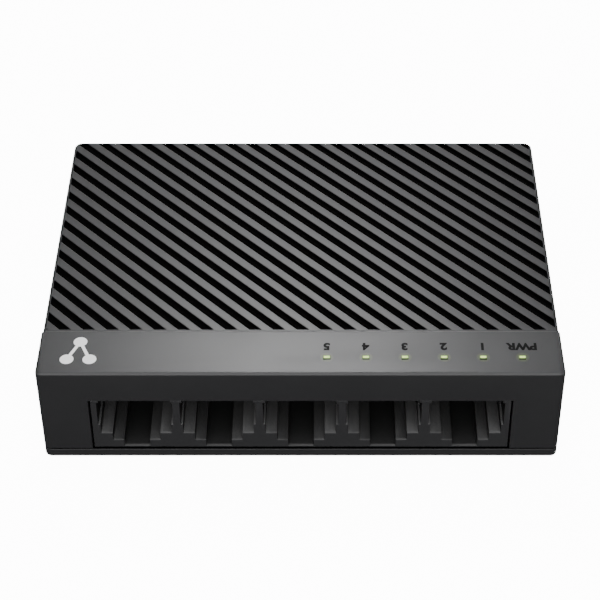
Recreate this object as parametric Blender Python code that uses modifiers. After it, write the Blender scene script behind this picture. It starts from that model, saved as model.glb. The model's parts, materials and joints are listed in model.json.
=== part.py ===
"""A five-port desktop network switch, piece by piece.

A ribbed top cover closes down over a base tray. Between them sit a circuit board, a moulded block of
five jacks, a clear light guide that carries six lamps up to the top, and the parts that a switch needs.
The origin is at the middle of what it stands on, the jacks face -Y, and +X is to the right of someone
who looks into the jacks. Lengths are in metres, and MM turns millimetres into metres.
"""
import math

import bmesh
import bpy
from mathutils import Matrix

MM = 0.001

# Gaps between pieces
REST_GAP = 0.3 * MM          # between a piece and what it rests on
SEAM_GAP = 0.2 * MM          # the line where cover and tray meet
FIT_GAP = 0.25 * MM          # round a piece that sits in another

# Jacks: one moulding with five ports side by side, latch notch at the bottom
PORT_COUNT = 5
PORT_PITCH = 13.97 * MM
PORT_WIDTH = 11.98 * MM
PORT_DEPTH = 12.0 * MM
PORT_HEIGHT = 6.83 * MM
STEP_WIDTH = 8.05 * MM
STEP_HEIGHT = 1.64 * MM
NOTCH_WIDTH = 4.34 * MM
NOTCH_HEIGHT = 1.40 * MM
BLOCK_FLOOR = 0.44 * MM
BLOCK_BROW = 0.54 * MM       # webs above the ports' tops, at the face
BLOCK_END_WALL = 1.37 * MM
BLOCK_BACK_WALL = 4.0 * MM
BLOCK_SETBACK = 0.4 * MM     # face of the block behind the face of the case
SPRING_ROOM = 1.4 * MM       # height of the recess over a port
BLOCK_ROOF = 0.7 * MM
SLIT_WIDTH = 0.35 * MM       # upright slit in each side of a web, up to the port's top
SLIT_RISE = 1.9 * MM         # above the port's floor
SLIT_DEPTH = 5.0 * MM
LEAD_IN_RISE = 0.2 * MM      # slope at the front edge of each floor
LEAD_IN_RUN = 0.35 * MM

# Case
CHEEK_WIDTH = 8.3 * MM       # front wall beside the window
DEPTH = 65.0 * MM
WALL = 1.6 * MM
ROOF = 2.0 * MM
TRAY_FLOOR = 1.89 * MM
FOOT_PROUD = 0.5 * MM
FRONT_CORNER = 1.0 * MM
BACK_CORNER = 1.5 * MM
TOP_FILLET = 0.5 * MM
TRAY_FILLET = 0.6 * MM
INNER_CORNER = 0.6 * MM
STRIP_DEPTH = 10.58 * MM     # plain strip along the front of the top
STRIP_PROUD = 0.22 * MM      # how far it stands out at each side

# Ribs on the top
RIB_PITCH = 2.924 * MM
RIB_ANGLE = math.radians(43.43)
GROOVE_WIDTH = 1.46 * MM
GROOVE_DEPTH = 0.7 * MM
GROOVE_PHASE = 2.312         # grooves from the middle of the front edge to the first one counted
RIB_START = 10.99 * MM
RIB_RIM = 0.35 * MM

# Light guide and lamps
LAMP_COUNT = 6
LAMP_PITCH = 6.52 * MM
LAMP_INSET = 6.92 * MM       # from the right side to the power lamp
LAMP_SETBACK = 4.09 * MM
LENS_WIDTH = 1.2 * MM
LENS_DEPTH = 0.75 * MM
LENS_GAP = 0.1 * MM
LENS_ROOT = 0.5 * MM         # how far a lens starts inside its arm
GUIDE_HEIGHT = 1.5 * MM
GUIDE_ROOM = 1.2 * MM        # from the guide to the roof
GUIDE_BEHIND = 1.9 * MM      # from the block's back to the middle of the guide's legs
GUIDE_LEG_DEPTH = 1.3 * MM
GUIDE_LEG_TRIM = 0.1 * MM    # a leg is this much slimmer than its arm, all round
GUIDE_BAR_WIDTH = 1.0 * MM
LAMP_SIZE = (1.6 * MM, 0.8 * MM, 0.7 * MM)

# Tray
LIP_WALL = 1.2 * MM
LIP_HEIGHT = 2.3 * MM
SNAP_WIDTH = 5.0 * MM
SNAP_SETBACK = 6.0 * MM
SNAP_HEIGHT = 5.5 * MM
SNAP_CATCH = 0.5 * MM
SNAP_CATCH_HEIGHT = 1.2 * MM
VENT_COUNT = 9
VENT_PITCH = 4.0 * MM
VENT_WIDTH = 1.5 * MM
VENT_LENGTH = 9.0 * MM
VENT_FROM_LABEL = 3.0 * MM
KEYHOLE_SPACING = 54.0 * MM
KEYHOLE_HEAD_RADIUS = 3.2 * MM
KEYHOLE_NECK_WIDTH = 3.2 * MM
KEYHOLE_NECK_LENGTH = 5.0 * MM
KEYHOLE_FROM_BACK = 15.0 * MM

# Feet, screws and label
FOOT_RADIUS = 4.0 * MM
FOOT_RECESS = 0.8 * MM
FOOT_INSET = 7.9 * MM
FOOT_FROM_FRONT = 8.0 * MM
FOOT_FROM_BACK = 14.0 * MM
BOSS_RADIUS = 2.6 * MM
BOSS_PAD_RADIUS = 3.6 * MM
BOSS_PAD_HEIGHT = 2.1 * MM
SCREW_RADIUS = 0.8 * MM
SCREW_HEAD_RADIUS = 1.9 * MM
SCREW_HEAD_HEIGHT = 1.2 * MM
SCREW_LENGTH = 7.0 * MM
SCREW_GAP = 0.1 * MM
HEAD_SINK = 2.1 * MM
LABEL_SIZE = (38.0 * MM, 18.0 * MM)
LABEL_THICKNESS = 0.15 * MM
LABEL_RECESS = 0.4 * MM
LABEL_GAP = 0.1 * MM         # between the label and the recess it lies in
LABEL_SETBACK = 15.0 * MM

# Board
BOARD_THICKNESS = 1.6 * MM
BOARD_RISE = 4.5 * MM
BOARD_SIDE_GAP = 1.8 * MM    # from the board to the cover's wall
BOARD_BACK_GAP = 8.5 * MM
BOARD_TONGUE_START = 12.0 * MM
BOARD_POST_RADIUS = 2.2 * MM
BOARD_POST_INSET = 3.6 * MM
BOARD_POST_BEHIND = 5.0 * MM # from the back of the jack block
BOARD_SCREW_LENGTH = 3.4 * MM

# Jack springs
WIRE_COUNT = 8
WIRE_PITCH = 1.016 * MM
WIRE_RADIUS = 0.18 * MM
WIRE_LENGTH = 7.0 * MM
WIRE_SLOPE = math.radians(25.0)
SPRING_BAR_WIDTH = 8.4 * MM
SPRING_BAR_SIDE = 0.7 * MM
SPRING_SETBACK = 2.8 * MM    # from the block's face to the line that the wires turn about
TAIL_WIDTH = 0.4 * MM
TAIL_RISE = 1.6 * MM
TAIL_REACH = 0.9 * MM
INSERT_DEPTH = 0.7 * MM
INSERT_HEIGHT = 2.4 * MM

# Parts on the board
MAGNETICS_SIZE = (12.0 * MM, 8.0 * MM, 4.2 * MM)
MAGNETICS_ROW = 26.3 * MM    # from the front of the case
MAGNETICS_STAND = 0.15 * MM
LEAD_COUNT = 6
LEAD_PITCH = 1.8 * MM
LEAD_WIDTH = 0.6 * MM
LEAD_ROOT = 0.3 * MM
LEAD_REACH = 0.9 * MM
LEAD_THICKNESS = 0.4 * MM
CHIP_SIDE = 10.0 * MM
CHIP_HEIGHT = 1.0 * MM
DOT_INSET = 1.2 * MM
DOT_RADIUS = 0.5 * MM
DOT_DEPTH = 0.2 * MM
CRYSTAL_SIZE = (10.4 * MM, 4.4 * MM, 3.4 * MM)
CRYSTAL_FILLET = 0.5 * MM
CAN_RADIUS = 3.1 * MM
CAN_HEIGHT = 7.0 * MM
CAN_BASE = 6.6 * MM
CAN_BASE_HEIGHT = 0.9 * MM

# Power jack, in the right-hand side
DC_LENGTH = 13.0 * MM
DC_WIDTH = 9.0 * MM
DC_HEIGHT = 10.4 * MM
DC_BORE_RADIUS = 3.15 * MM
DC_BORE_DEPTH = 10.5 * MM
DC_NOSE_RADIUS = 4.0 * MM
DC_PIN_RADIUS = 1.0 * MM
DC_PIN_LENGTH = 9.5 * MM
DC_PIN_TAIL = 0.8 * MM       # how far the pin stands out behind
DC_ROW = 38.0 * MM
DC_AXIS_RISE = 5.1 * MM      # above the housing's underside
LEAF_LENGTH = 6.0 * MM
LEAF_WIDTH = 2.4 * MM
LEAF_THICKNESS = 0.3 * MM
LEAF_SLOT_WIDTH = 3.2 * MM
LEAF_SETBACK = 2.5 * MM      # from the face of the housing to the leaf's free end
LEAF_END_ROOM = 0.5 * MM     # slot beyond the free end
LEAF_DROP = 0.2 * MM         # fixed end below the bore
LEAF_TILT = math.radians(8.0)

# Worked out from the values above
BLOCK_WIDTH = (PORT_COUNT - 1) * PORT_PITCH + PORT_WIDTH + 2 * BLOCK_END_WALL
WINDOW_WIDTH = BLOCK_WIDTH + 2 * REST_GAP
WIDTH = WINDOW_WIDTH + 2 * CHEEK_WIDTH
FRONT = -DEPTH / 2
BACK = DEPTH / 2
BOTTOM = FOOT_PROUD
PARTING = BOTTOM + TRAY_FLOOR
BLOCK_BOTTOM = PARTING + SEAM_GAP
NOTCH_FLOOR = BLOCK_BOTTOM + BLOCK_FLOOR
STEP_FLOOR = NOTCH_FLOOR + NOTCH_HEIGHT
PORT_FLOOR = STEP_FLOOR + STEP_HEIGHT
PORT_TOP = PORT_FLOOR + PORT_HEIGHT
BROW_TOP = PORT_TOP + BLOCK_BROW
WINDOW_TOP = BROW_TOP + REST_GAP
SPRING_TOP = PORT_TOP + SPRING_ROOM
BLOCK_TOP = SPRING_TOP + BLOCK_ROOF
GUIDE_BOTTOM = BLOCK_TOP + REST_GAP
GUIDE_TOP = GUIDE_BOTTOM + GUIDE_HEIGHT
ROOF_UNDER = GUIDE_TOP + GUIDE_ROOM
TOP = ROOF_UNDER + ROOF
BLOCK_FACE = FRONT + BLOCK_SETBACK
BLOCK_BACK = BLOCK_FACE + PORT_DEPTH + BLOCK_BACK_WALL
BOARD_BOTTOM = BOTTOM + BOARD_RISE
BOARD_TOP = BOARD_BOTTOM + BOARD_THICKNESS
SEAT = BOARD_TOP + REST_GAP
BOARD_HALF_WIDTH = WIDTH / 2 - WALL - BOARD_SIDE_GAP
BOARD_BACK = BACK - BOARD_BACK_GAP
INNER_SIDE = WIDTH / 2 - STRIP_PROUD - WALL
LIP_SIDE = INNER_SIDE - FIT_GAP
BOSS_X = INNER_SIDE - FIT_GAP - BOSS_PAD_RADIUS
BOSS_Y = BACK - WALL - FIT_GAP - BOSS_PAD_RADIUS
GUIDE_LEG_Y = BLOCK_BACK + GUIDE_BEHIND
MAGNETICS_Y = FRONT + MAGNETICS_ROW
CHIP_Y = (MAGNETICS_Y + MAGNETICS_SIZE[1] / 2 + BOARD_BACK) / 2
LENS_Y = FRONT + LAMP_SETBACK
PORT_XS = [(i - (PORT_COUNT - 1) / 2) * PORT_PITCH for i in range(PORT_COUNT)]
LAMP_XS = [WIDTH / 2 - LAMP_INSET - i * LAMP_PITCH for i in range(LAMP_COUNT)]
DC_AXIS_Y = FRONT + DC_ROW
DC_AXIS_Z = SEAT + DC_AXIS_RISE
DC_FACE = INNER_SIDE - REST_GAP
DC_REAR = DC_FACE - DC_LENGTH

for old in list(bpy.data.objects):
    bpy.data.objects.remove(old, do_unlink=True)

PARTS = bpy.data.collections.new("network_switch")
CUTTERS = bpy.data.collections.new("network_switch_cutters")
bpy.context.scene.collection.children.link(PARTS)
bpy.context.scene.collection.children.link(CUTTERS)


def make_material(name, color, roughness, metallic=0.0):
    material = bpy.data.materials.new(name)
    material.use_nodes = True
    shader = material.node_tree.nodes["Principled BSDF"]
    shader.inputs["Base Color"].default_value = (*color, 1.0)
    shader.inputs["Roughness"].default_value = roughness
    shader.inputs["Metallic"].default_value = metallic
    return material


CASE_BLACK = make_material("case_black", (0.035, 0.036, 0.038), 0.45)
TRAY_BLACK = make_material("tray_black", (0.028, 0.028, 0.030), 0.55)
JACK_BLACK = make_material("jack_black", (0.012, 0.012, 0.013), 0.40)
BOARD_GREEN = make_material("board_green", (0.010, 0.120, 0.040), 0.40)
GOLD = make_material("gold_plate", (0.830, 0.620, 0.250), 0.25, 1.0)
TIN = make_material("tin_plate", (0.700, 0.700, 0.710), 0.35, 1.0)
ALUMINIUM = make_material("aluminium_can", (0.750, 0.760, 0.770), 0.30, 1.0)
STEEL = make_material("zinc_steel", (0.600, 0.610, 0.620), 0.35, 1.0)
CHIP_BLACK = make_material("chip_black", (0.020, 0.020, 0.021), 0.50)
FERRITE = make_material("ferrite", (0.060, 0.060, 0.065), 0.60)
LAMP_WHITE = make_material("lamp_white", (0.850, 0.900, 0.700), 0.30)
GUIDE_CLEAR = make_material("guide_clear", (0.800, 0.850, 0.750), 0.10)
FOOT_RUBBER = make_material("foot_rubber", (0.030, 0.030, 0.030), 0.85)
LABEL_PAPER = make_material("label_silver", (0.620, 0.620, 0.610), 0.50)


def add_part(name, mesh, material, place=(0.0, 0.0, 0.0)):
    part = bpy.data.objects.new(name, mesh)
    if not mesh.materials:
        mesh.materials.append(material)
    part.location = place
    PARTS.objects.link(part)
    return part


def add_cutter(name, mesh):
    cutter = bpy.data.objects.new(name, mesh)
    cutter.hide_render = True
    cutter.display_type = "WIRE"
    CUTTERS.objects.link(cutter)
    return cutter


def combine(part, operation, name, mesh):
    """Cut from, or join to, the part a shape that is kept in the cutters' collection."""
    tool = add_cutter(name, mesh)
    boolean = part.modifiers.new(name, "BOOLEAN")
    boolean.operation = operation
    boolean.solver = "EXACT"
    boolean.object = tool
    return tool


def cut(part, name, mesh):
    return combine(part, "DIFFERENCE", name, mesh)


def join(part, name, mesh):
    return combine(part, "UNION", name, mesh)


def mesh_from(bm, name):
    mesh = bpy.data.meshes.new(name)
    bm.to_mesh(mesh)
    bm.free()
    return mesh


def box_mesh(name, boxes):
    """One mesh of separate boxes, each given by its lowest and highest corner."""
    bm = bmesh.new()
    for low, high in boxes:
        verts = bmesh.ops.create_cube(bm, size=1.0)["verts"]
        size = [b - a for a, b in zip(low, high)]
        middle = [(a + b) / 2 for a, b in zip(low, high)]
        bmesh.ops.scale(bm, vec=size, verts=verts)
        bmesh.ops.translate(bm, vec=middle, verts=verts)
    return mesh_from(bm, name)


def rod_mesh(name, rods, radius, axis="Z", sides=24):
    """One mesh of separate rods; each has its start on the axis and its length along it."""
    bm = bmesh.new()
    for start, length in rods:
        made = bmesh.ops.create_cone(
            bm, cap_ends=True, segments=sides, radius1=radius, radius2=radius, depth=length)
        verts = made["verts"]
        bmesh.ops.translate(bm, vec=(0, 0, length / 2), verts=verts)
        if axis == "X":
            bmesh.ops.rotate(bm, matrix=Matrix.Rotation(math.pi / 2, 3, "Y"), verts=verts)
        bmesh.ops.translate(bm, vec=start, verts=verts)
    shape = mesh_from(bm, name)
    shape.shade_smooth()
    shape.set_sharp_from_angle(angle=math.radians(40))
    return shape


def around(x, y, radius_x, radius_y, low, high):
    """The corners of a box centred on an upright line."""
    return ((x - radius_x, y - radius_y, low), (x + radius_x, y + radius_y, high))


def corner(x, y, radius, start, steps=6):
    """A quarter circle that rounds the corner at x, y, starting at the angle given, anticlockwise."""
    middle = start + math.pi / 4
    cx = x - radius * math.sqrt(2) * math.cos(middle)
    cy = y - radius * math.sqrt(2) * math.sin(middle)
    angles = [start + math.pi / 2 * i / steps for i in range(steps + 1)]
    return [(cx + radius * math.cos(a), cy + radius * math.sin(a)) for a in angles]


def case_outline(inset=0.0):
    """The case from above: rounded corners, and a front strip that stands out a little at the sides."""
    side = WIDTH / 2 - inset
    main_side = side - STRIP_PROUD
    strip_end = FRONT + STRIP_DEPTH
    front_radius = max(FRONT_CORNER - inset, 0.3 * MM)
    back_radius = max(BACK_CORNER - inset, 0.3 * MM)
    points = corner(main_side, BACK - inset, back_radius, 0.0)
    points += corner(-main_side, BACK - inset, back_radius, math.pi / 2)
    points += [(-main_side, strip_end), (-side, strip_end)]
    points += corner(-side, FRONT + inset, front_radius, math.pi)
    points += corner(side, FRONT + inset, front_radius, 1.5 * math.pi)
    points += [(side, strip_end), (main_side, strip_end)]
    return points


def inner_outline(inset):
    """A plain rounded rectangle inside the case's walls."""
    side = WIDTH / 2 - STRIP_PROUD - inset
    radius = INNER_CORNER
    points = corner(side, BACK - inset, radius, 0.0)
    points += corner(-side, BACK - inset, radius, math.pi / 2)
    points += corner(-side, FRONT + inset, radius, math.pi)
    points += corner(side, FRONT + inset, radius, 1.5 * math.pi)
    return points


def prism_bmesh(outline, low, high):
    """A flat outline given a height, as one closed solid with whole flat ends."""
    curve = bpy.data.curves.new("outline", "CURVE")
    curve.dimensions = "2D"
    curve.fill_mode = "BOTH"
    curve.extrude = (high - low) / 2
    spline = curve.splines.new("POLY")
    spline.points.add(len(outline) - 1)
    for point, (x, y) in zip(spline.points, outline):
        point.co = (x, y, 0.0, 1.0)
    spline.use_cyclic_u = True
    holder = bpy.data.objects.new("outline", curve)
    bpy.context.scene.collection.objects.link(holder)
    graph = bpy.context.evaluated_depsgraph_get()
    raw = bpy.data.meshes.new_from_object(holder.evaluated_get(graph))
    bpy.data.objects.remove(holder, do_unlink=True)
    bpy.data.curves.remove(curve)
    bm = bmesh.new()
    bm.from_mesh(raw)
    bpy.data.meshes.remove(raw)
    bmesh.ops.remove_doubles(bm, verts=bm.verts, dist=1e-6)
    bmesh.ops.dissolve_limit(bm, angle_limit=0.002, verts=bm.verts, edges=bm.edges)
    bmesh.ops.recalc_face_normals(bm, faces=bm.faces)
    bmesh.ops.translate(bm, vec=(0, 0, (low + high) / 2), verts=bm.verts)
    return bm


def prism_mesh(name, outline, low, high):
    return mesh_from(prism_bmesh(outline, low, high), name)


def filleted_prism_mesh(name, outline, low, high, edge_height, radius):
    """A prism whose rim at one height is rounded."""
    bm = prism_bmesh(outline, low, high)
    rim = [e for e in bm.edges if all(abs(v.co.z - edge_height) < 1e-6 for v in e.verts)]
    bmesh.ops.bevel(bm, geom=rim, offset=radius, segments=3, profile=0.5, affect="EDGES")
    return mesh_from(bm, name)


def repeat_mesh(name, pattern, offsets):
    """One mesh holding a copy of the pattern at each offset."""
    bm = bmesh.new()
    for offset in offsets:
        before = len(bm.verts)
        bm.from_mesh(pattern)
        bm.verts.ensure_lookup_table()
        bmesh.ops.translate(bm, vec=offset, verts=bm.verts[before:])
    return mesh_from(bm, name)


def frozen(part, name):
    """The part's finished mesh, so that several objects can share it. The part itself goes."""
    graph = bpy.context.evaluated_depsgraph_get()
    mesh = bpy.data.meshes.new_from_object(part.evaluated_get(graph))
    mesh.name = name
    tools = [m.object for m in part.modifiers if m.type == "BOOLEAN"]
    for done in [part, *tools]:
        bpy.data.objects.remove(done, do_unlink=True)
    return mesh


def make_grooves():
    """Straight diagonal bars, trimmed to the ribbed field of the top."""
    along = (math.cos(RIB_ANGLE), math.sin(RIB_ANGLE))
    half_x = WIDTH / 2
    reach = half_x * along[0] + DEPTH * along[1]
    first = math.floor(GROOVE_PHASE - half_x * along[0] / RIB_PITCH)
    last = math.ceil(GROOVE_PHASE + reach / RIB_PITCH)
    half_length = math.hypot(WIDTH, DEPTH)
    bm = bmesh.new()
    for index in range(first, last + 1):
        distance = (index - GROOVE_PHASE) * RIB_PITCH
        verts = bmesh.ops.create_cube(bm, size=1.0)["verts"]
        bmesh.ops.scale(bm, vec=(GROOVE_WIDTH, 2 * half_length, 2 * GROOVE_DEPTH), verts=verts)
        bmesh.ops.translate(bm, vec=(distance, 0, 0), verts=verts)
        bmesh.ops.rotate(bm, matrix=Matrix.Rotation(RIB_ANGLE, 3, "Z"), verts=verts)
        bmesh.ops.translate(bm, vec=(0, FRONT, TOP), verts=verts)
    bars = mesh_from(bm, "groove_bars")
    side = WIDTH / 2 - STRIP_PROUD - RIB_RIM
    radius = BACK_CORNER - RIB_RIM
    field = corner(side, BACK - RIB_RIM, radius, 0.0)
    field += corner(-side, BACK - RIB_RIM, radius, math.pi / 2)
    field += [(-side, FRONT + RIB_START), (side, FRONT + RIB_START)]
    return bars, prism_mesh("rib_field", field, TOP - 3 * GROOVE_DEPTH, TOP + 3 * GROOVE_DEPTH)


def make_top_cover():
    low = PARTING + SEAM_GAP
    shell = filleted_prism_mesh("top_cover", case_outline(), low, TOP, TOP, TOP_FILLET)
    cover = add_part("top_cover", shell, CASE_BLACK)
    cut(cover, "cover_hollow", prism_mesh("cover_hollow", inner_outline(WALL), low - MM, ROOF_UNDER))
    window = around(0, FRONT, WINDOW_WIDTH / 2, 2 * WALL, low - MM, WINDOW_TOP)
    cut(cover, "window", box_mesh("window", [window]))
    boss_low = PARTING + BOSS_PAD_HEIGHT + REST_GAP
    bosses = [((x, BOSS_Y, boss_low), ROOF_UNDER + ROOF / 4 - boss_low) for x in (-BOSS_X, BOSS_X)]
    join(cover, "bosses", rod_mesh("bosses", bosses, BOSS_RADIUS))
    pilots = [((x, BOSS_Y, boss_low - MM), SCREW_LENGTH + 2 * MM) for x in (-BOSS_X, BOSS_X)]
    cut(cover, "boss_pilots", rod_mesh("boss_pilots", pilots, SCREW_RADIUS + SCREW_GAP, sides=16))
    snap_y = FRONT + SNAP_SETBACK + SNAP_WIDTH / 2
    top = BOTTOM + SNAP_HEIGHT + FIT_GAP
    bottom = top - SNAP_CATCH_HEIGHT - 2 * FIT_GAP
    reach = SNAP_CATCH + FIT_GAP
    pockets = [around(x, snap_y, reach, SNAP_WIDTH / 2 + FIT_GAP, bottom, top)
               for x in (-INNER_SIDE, INNER_SIDE)]
    cut(cover, "snap_pockets", box_mesh("snap_pockets", pockets))
    hole_x = LENS_WIDTH / 2 + LENS_GAP
    hole_y = LENS_DEPTH / 2 + LENS_GAP
    holes = [around(x, LENS_Y, hole_x, hole_y, ROOF_UNDER - MM, TOP + MM) for x in LAMP_XS]
    cut(cover, "lens_holes", box_mesh("lens_holes", holes))
    start = (INNER_SIDE - MM, DC_AXIS_Y, DC_AXIS_Z)
    hole = rod_mesh("dc_hole", [(start, WALL + 3 * MM)], DC_NOSE_RADIUS + REST_GAP, "X", 32)
    cut(cover, "dc_hole", hole)
    bars, field = make_grooves()
    grooves = cut(cover, "groove_bars", bars)
    combine(grooves, "INTERSECT", "rib_field", field)
    return cover


def keyhole_outline(x, y, steps=16):
    """A round head hole with a neck behind it that ends in a half circle."""
    neck = KEYHOLE_NECK_WIDTH / 2
    open_angle = math.asin(neck / KEYHOLE_HEAD_RADIUS)
    start = math.pi / 2 + open_angle
    sweep = 2 * math.pi - 2 * open_angle
    head = [start + sweep * i / steps for i in range(steps + 1)]
    points = [(x + KEYHOLE_HEAD_RADIUS * math.cos(a), y + KEYHOLE_HEAD_RADIUS * math.sin(a)) for a in head]
    end = [math.pi * i / 8 for i in range(9)]
    points += [(x + neck * math.cos(a), y + KEYHOLE_NECK_LENGTH + neck * math.sin(a)) for a in end]
    return points


def foot_places():
    side = WIDTH / 2 - FOOT_INSET
    rows = {"front": FRONT + FOOT_FROM_FRONT, "back": BACK - FOOT_FROM_BACK}
    return {f"foot_{row}_{name}": (x, y) for row, y in rows.items() for name, x in
            (("left", -side), ("right", side))}


def board_screw_places():
    x = BOARD_HALF_WIDTH - BOARD_POST_INSET
    y = BLOCK_BACK + BOARD_POST_BEHIND
    return [(-x, y), (x, y)]


def make_base_tray():
    plate = filleted_prism_mesh("base_tray", case_outline(), BOTTOM, PARTING, BOTTOM, TRAY_FILLET)
    tray = add_part("base_tray", plate, TRAY_BLACK)
    lip_top = PARTING + LIP_HEIGHT
    embed = TRAY_FLOOR / 2
    lip = join(tray, "lip", prism_mesh("lip", inner_outline(WALL + FIT_GAP), PARTING - embed, lip_top))
    hollow = prism_mesh("lip_hollow", inner_outline(WALL + FIT_GAP + LIP_WALL), PARTING - 2 * embed,
                        lip_top + MM)
    cut(lip, "lip_hollow", hollow)
    gap = around(0, FRONT, BLOCK_WIDTH / 2 + REST_GAP, 5 * MM, PARTING - 2 * embed, lip_top + MM)
    cut(lip, "lip_gap", box_mesh("lip_gap", [gap]))
    snap_y = FRONT + SNAP_SETBACK
    snap_top = BOTTOM + SNAP_HEIGHT
    tabs = []
    for side in (-1, 1):
        outer = side * LIP_SIDE
        inner = side * (LIP_SIDE - LIP_WALL)
        xs = sorted((outer, inner))
        tabs.append(((xs[0], snap_y, PARTING - embed), (xs[1], snap_y + SNAP_WIDTH, snap_top)))
    join(tray, "snap_tabs", box_mesh("snap_tabs", tabs))
    catches = []
    for side in (-1, 1):
        xs = sorted((side * (LIP_SIDE - LIP_WALL / 2), side * (LIP_SIDE + SNAP_CATCH)))
        low = (xs[0], snap_y + FIT_GAP, snap_top - SNAP_CATCH_HEIGHT)
        catches.append((low, (xs[1], snap_y + SNAP_WIDTH - FIT_GAP, snap_top - SEAM_GAP)))
    join(tray, "snap_catches", box_mesh("snap_catches", catches))
    pad_top = PARTING + BOSS_PAD_HEIGHT
    pads = [((x, BOSS_Y, PARTING - embed), pad_top - PARTING + embed) for x in (-BOSS_X, BOSS_X)]
    join(tray, "boss_pads", rod_mesh("boss_pads", pads, BOSS_PAD_RADIUS))
    heads = [((x, BOSS_Y, BOTTOM - MM), HEAD_SINK + MM) for x in (-BOSS_X, BOSS_X)]
    cut(tray, "head_sinks", rod_mesh("head_sinks", heads, SCREW_HEAD_RADIUS + REST_GAP))
    shanks = [((x, BOSS_Y, BOTTOM), pad_top - BOTTOM + MM) for x in (-BOSS_X, BOSS_X)]
    cut(tray, "shank_holes", rod_mesh("shank_holes", shanks, SCREW_RADIUS + REST_GAP, sides=16))
    post_top = BOARD_BOTTOM - REST_GAP
    posts = [((x, y, PARTING - embed), post_top - PARTING + embed) for x, y in board_screw_places()]
    join(tray, "board_posts", rod_mesh("board_posts", posts, BOARD_POST_RADIUS))
    drills = [((x, y, PARTING), post_top - PARTING + MM) for x, y in board_screw_places()]
    cut(tray, "post_drills", rod_mesh("post_drills", drills, SCREW_RADIUS + SCREW_GAP, sides=16))
    feet = [((x, y, BOTTOM - MM), FOOT_RECESS + MM) for x, y in foot_places().values()]
    cut(tray, "foot_recesses", rod_mesh("foot_recesses", feet, FOOT_RADIUS + FIT_GAP))
    label_y = FRONT + LABEL_SETBACK
    half_x = LABEL_SIZE[0] / 2 + REST_GAP
    half_y = LABEL_SIZE[1] / 2 + REST_GAP
    recess = around(0, label_y, half_x, half_y, BOTTOM - MM, BOTTOM + LABEL_RECESS)
    cut(tray, "label_recess", box_mesh("label_recess", [recess]))
    vent_y = FRONT + LABEL_SETBACK + LABEL_SIZE[1] / 2 + VENT_FROM_LABEL + VENT_LENGTH / 2
    vents = [around((i - (VENT_COUNT - 1) / 2) * VENT_PITCH, vent_y, VENT_WIDTH / 2, VENT_LENGTH / 2,
                    BOTTOM - MM, PARTING + MM) for i in range(VENT_COUNT)]
    cut(tray, "vents", box_mesh("vents", vents))
    for name, x in (("keyhole_left", -KEYHOLE_SPACING / 2), ("keyhole_right", KEYHOLE_SPACING / 2)):
        outline = keyhole_outline(x, BACK - KEYHOLE_FROM_BACK)
        cut(tray, name, prism_mesh(name, outline, BOTTOM - MM, PARTING + MM))
    return tray


def lead_in_mesh(name, width, floor):
    """Boxes tilted about X, one to a port, whose undersides slope up to the floor from the block's face."""
    tilt = Matrix.Rotation(math.atan2(LEAD_IN_RISE, LEAD_IN_RUN), 3, "X")
    slope = math.hypot(LEAD_IN_RUN, LEAD_IN_RISE)
    bm = bmesh.new()
    bm.from_mesh(box_mesh(name, [((x - width / 2, -MM, 0), (x + width / 2, slope, MM)) for x in PORT_XS]))
    bmesh.ops.rotate(bm, matrix=tilt, verts=bm.verts)
    bmesh.ops.translate(bm, vec=(0, BLOCK_FACE, floor - LEAD_IN_RISE), verts=bm.verts)
    return mesh_from(bm, name)


def make_jack_block():
    body_front = FRONT + WALL + REST_GAP
    half = BLOCK_WIDTH / 2
    body = ((-half, body_front, BLOCK_BOTTOM), (half, BLOCK_BACK, BLOCK_TOP))
    block = add_part("jack_block", box_mesh("jack_block", [body]), JACK_BLACK)
    nose = ((-half, BLOCK_FACE, BLOCK_BOTTOM), (half, body_front + MM, BROW_TOP))
    join(block, "block_nose", box_mesh("block_nose", [nose]))
    mouth = BLOCK_FACE - MM
    pocket_end = BLOCK_FACE + PORT_DEPTH
    levels = (("port_mains", PORT_WIDTH, PORT_FLOOR, PORT_TOP),
              ("port_steps", STEP_WIDTH, STEP_FLOOR, PORT_FLOOR + MM),
              ("port_notches", NOTCH_WIDTH, NOTCH_FLOOR, STEP_FLOOR + MM))
    for name, width, low, high in levels:
        boxes = [((x - width / 2, mouth, low), (x + width / 2, pocket_end, high)) for x in PORT_XS]
        cut(block, name, box_mesh(name, boxes))
    recess_half = SPRING_BAR_WIDTH / 2 + REST_GAP
    recess_front = BLOCK_FACE + SPRING_SETBACK - SPRING_BAR_SIDE
    recesses = [((x - recess_half, recess_front, PORT_TOP - MM), (x + recess_half, pocket_end, SPRING_TOP))
                for x in PORT_XS]
    cut(block, "spring_recesses", box_mesh("spring_recesses", recesses))
    open_top = [((x - PORT_WIDTH / 2, mouth, PORT_TOP - MM), (x + PORT_WIDTH / 2, body_front, BROW_TOP + MM))
                for x in PORT_XS]
    cut(block, "open_tops", box_mesh("open_tops", open_top))
    for name, width, floor in (("port_lead_ins", PORT_WIDTH, PORT_FLOOR),
                               ("step_lead_ins", STEP_WIDTH, STEP_FLOOR),
                               ("notch_lead_ins", NOTCH_WIDTH, NOTCH_FLOOR)):
        cut(block, name, lead_in_mesh(name, width, floor))
    for name, side in (("left_slits", -1), ("right_slits", 1)):
        wall_in = PORT_WIDTH / 2 - SLIT_WIDTH
        wall_out = PORT_WIDTH / 2 + SLIT_WIDTH
        slits = []
        for x in PORT_XS:
            xs = sorted((x + side * wall_in, x + side * wall_out))
            slits.append(((xs[0], mouth, PORT_FLOOR + SLIT_RISE), (xs[1], BLOCK_FACE + SLIT_DEPTH, PORT_TOP)))
        cut(block, name, box_mesh(name, slits))
    return block


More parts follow.
